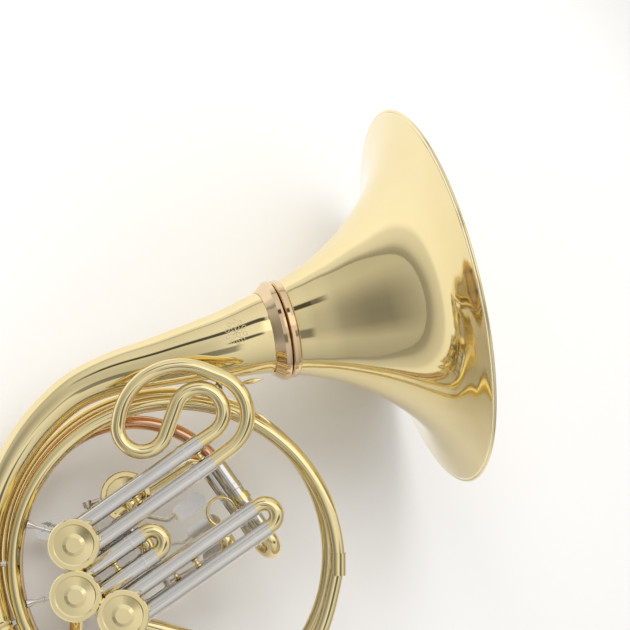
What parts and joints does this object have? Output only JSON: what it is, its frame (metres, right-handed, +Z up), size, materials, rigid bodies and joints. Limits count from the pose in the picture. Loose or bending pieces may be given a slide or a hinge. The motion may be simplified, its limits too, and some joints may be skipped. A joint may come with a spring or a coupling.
{
  "type": "french horn",
  "caption": "Full double french horn with a detachable screw bell, string-linked rotary valves, a looped long third-valve slide and a coiled body, lying on its bell rim",
  "frame": {"origin": "centre of the bounding box in plan, on the table the horn lies on", "axes": "+Z up, the horn lying on its bell rim and coil, bell throat to the upper right (+X, +Y), valve caps up"},
  "size_m": [0.3922, 0.5176, 0.3068],
  "materials": {
    "lacquered_brass": "clear lacquer over polished yellow brass",
    "rose_brass": "lacquered rose brass",
    "ring_brass": "lacquered bronze-toned brass",
    "rotor_brass": "machined brass",
    "nickel_silver": "polished nickel silver",
    "key_nickel": "polished nickel silver",
    "hinge_steel": "ground steel",
    "spring_steel": "drawn wire",
    "string_cord": "braided cord",
    "bumper_rubber": "moulded rubber"
  },
  "bodies": {
    "horn": {"b_slide_sleeves": "nickel_silver", "bearing_plates": "rotor_brass", "bell_branch": "lacquered_brass", "bell_tail": "lacquered_brass", "bell_tail_ring": "ring_brass", "casing_1": "lacquered_brass", "casing_2": "lacquered_brass", "casing_3": "lacquered_brass", "casing_4": "lacquered_brass", "f_slide_sleeves": "nickel_silver", "inner_loop": "lacquered_brass", "leadpipe": "rose_brass", "lever_brackets": "key_nickel", "lever_rods": "hinge_steel", "lever_springs": "spring_steel", "mouthpiece_receiver": "nickel_silver", "pinky_hook": "lacquered_brass", "ring_coupler": "lacquered_brass", "ring_tube": "lacquered_brass", "sleeve_posts": "lacquered_brass", "stop_bumpers": "bumper_rubber", "tube_braces": "nickel_silver", "tuning_sleeves": "nickel_silver", "valve_caps": "lacquered_brass", "valve_feed": "lacquered_brass"},
    "bell": {"bell_flare": "lacquered_brass", "bell_rim_wire": "lacquered_brass", "bell_flare_ring": "ring_brass"},
    "valve_1": {"rotor_1": "rotor_brass", "stop_hub_1": "rotor_brass"},
    "valve_2": {"rotor_2": "rotor_brass", "stop_hub_2": "rotor_brass"},
    "valve_3": {"rotor_3": "rotor_brass", "stop_hub_3": "rotor_brass"},
    "valve_4": {"rotor_4": "rotor_brass", "stop_hub_4": "rotor_brass"},
    "key_1": {"lever_1": "key_nickel", "string_1": "string_cord"},
    "key_2": {"lever_2": "key_nickel", "string_2": "string_cord"},
    "key_3": {"lever_3": "key_nickel", "string_3": "string_cord"},
    "thumb_key": {"thumb_lever": "key_nickel", "string_4": "string_cord"},
    "f_first_slide": {"f_first_legs": "nickel_silver", "f_first_crook": "lacquered_brass"},
    "f_second_slide": {"f_second_legs": "nickel_silver", "f_second_crook": "lacquered_brass"},
    "f_third_slide": {"f_third_legs": "nickel_silver", "f_third_crook": "lacquered_brass", "f_third_posts": "lacquered_brass"},
    "b_first_slide": {"b_first_legs": "nickel_silver", "b_first_crook": "lacquered_brass"},
    "b_second_slide": {"b_second_legs": "nickel_silver", "b_second_crook": "lacquered_brass"},
    "b_third_slide": {"b_third_legs": "nickel_silver", "b_third_crook": "lacquered_brass"},
    "tuning_slide": {"tuning_legs": "nickel_silver", "tuning_crook": "lacquered_brass", "tuning_pull_ring": "lacquered_brass"}
  },
  "joints": [
    {"name": "bell_unscrew", "type": "slide", "parent": "horn", "child": "bell", "axis": [0.9523, 0.2445, 0.1827], "range_m": [0, 0.03]},
    {"name": "f_first_pull", "type": "slide", "parent": "horn", "child": "f_first_slide", "axis": [0.7247, 0.5689, 0.3888], "range_m": [0, 0.05]},
    {"name": "f_second_pull", "type": "slide", "parent": "horn", "child": "f_second_slide", "axis": [0.7247, 0.5689, 0.3888], "range_m": [0, 0.026]},
    {"name": "f_third_pull", "type": "slide", "parent": "horn", "child": "f_third_slide", "axis": [0.7247, 0.5689, 0.3888], "range_m": [0, 0.03]},
    {"name": "b_first_pull", "type": "slide", "parent": "horn", "child": "b_first_slide", "axis": [0.7247, 0.5689, 0.3888], "range_m": [0, 0.036]},
    {"name": "b_second_pull", "type": "slide", "parent": "horn", "child": "b_second_slide", "axis": [0.7247, 0.5689, 0.3888], "range_m": [0, 0.017]},
    {"name": "b_third_pull", "type": "slide", "parent": "horn", "child": "b_third_slide", "axis": [0.7247, 0.5689, 0.3888], "range_m": [0, 0.009]},
    {"name": "tuning_pull", "type": "slide", "parent": "horn", "child": "tuning_slide", "axis": [0.5747, -0.8075, 0.133], "range_m": [0, 0.018]},
    {"name": "key_1_press", "type": "hinge", "parent": "horn", "child": "key_1", "pos_m": [-0.0362, -0.1267, 0.04835], "axis": [0.5684, -0.8125, 0.1296], "range_deg": [0, 18], "stiffness_Nm_per_rad": 0.35, "springref_deg": -14.32, "deforming": ["string_1"]},
    {"name": "key_2_press", "type": "hinge", "parent": "horn", "child": "key_2", "pos_m": [-0.05544, -0.0992, 0.04396], "axis": [0.5684, -0.8125, 0.1296], "range_deg": [0, 18], "stiffness_Nm_per_rad": 0.35, "springref_deg": -14.32, "deforming": ["string_2"]},
    {"name": "key_3_press", "type": "hinge", "parent": "horn", "child": "key_3", "pos_m": [-0.07468, -0.0717, 0.03957], "axis": [0.5684, -0.8125, 0.1296], "range_deg": [0, 18], "stiffness_Nm_per_rad": 0.35, "springref_deg": -14.32, "deforming": ["string_3"]},
    {"name": "thumb_press", "type": "hinge", "parent": "horn", "child": "thumb_key", "pos_m": [-0.10163, -0.07065, 0.04465], "axis": [0.3614, -0.9321, 0.0245], "range_deg": [0, 18], "stiffness_Nm_per_rad": 0.35, "springref_deg": -14.32, "deforming": ["string_4"]},
    {"name": "rotor_1_turn", "type": "hinge", "parent": "horn", "child": "valve_1", "pos_m": [-0.07467, -0.14611, 0.06101], "axis": [-0.3896, -0.1271, 0.9122], "range_deg": [-90, 0]},
    {"name": "rotor_2_turn", "type": "hinge", "parent": "horn", "child": "valve_2", "pos_m": [-0.10985, -0.13113, 0.04806], "axis": [-0.3896, -0.1271, 0.9122], "range_deg": [-90, 0]},
    {"name": "rotor_3_turn", "type": "hinge", "parent": "horn", "child": "valve_3", "pos_m": [-0.11315, -0.09111, 0.05223], "axis": [-0.3896, -0.1271, 0.9122], "range_deg": [-90, 0]},
    {"name": "rotor_4_turn", "type": "hinge", "parent": "horn", "child": "valve_4", "pos_m": [-0.071, -0.05391, 0.04801], "axis": [-0.3896, -0.1271, 0.9122], "range_deg": [0, 90]}
  ],
  "couplings": [
    {"joint": "rotor_1_turn", "follows": "key_1_press", "ratio": -5},
    {"joint": "rotor_2_turn", "follows": "key_2_press", "ratio": -5},
    {"joint": "rotor_3_turn", "follows": "key_3_press", "ratio": -5},
    {"joint": "rotor_4_turn", "follows": "thumb_press", "ratio": 5}
  ]
}
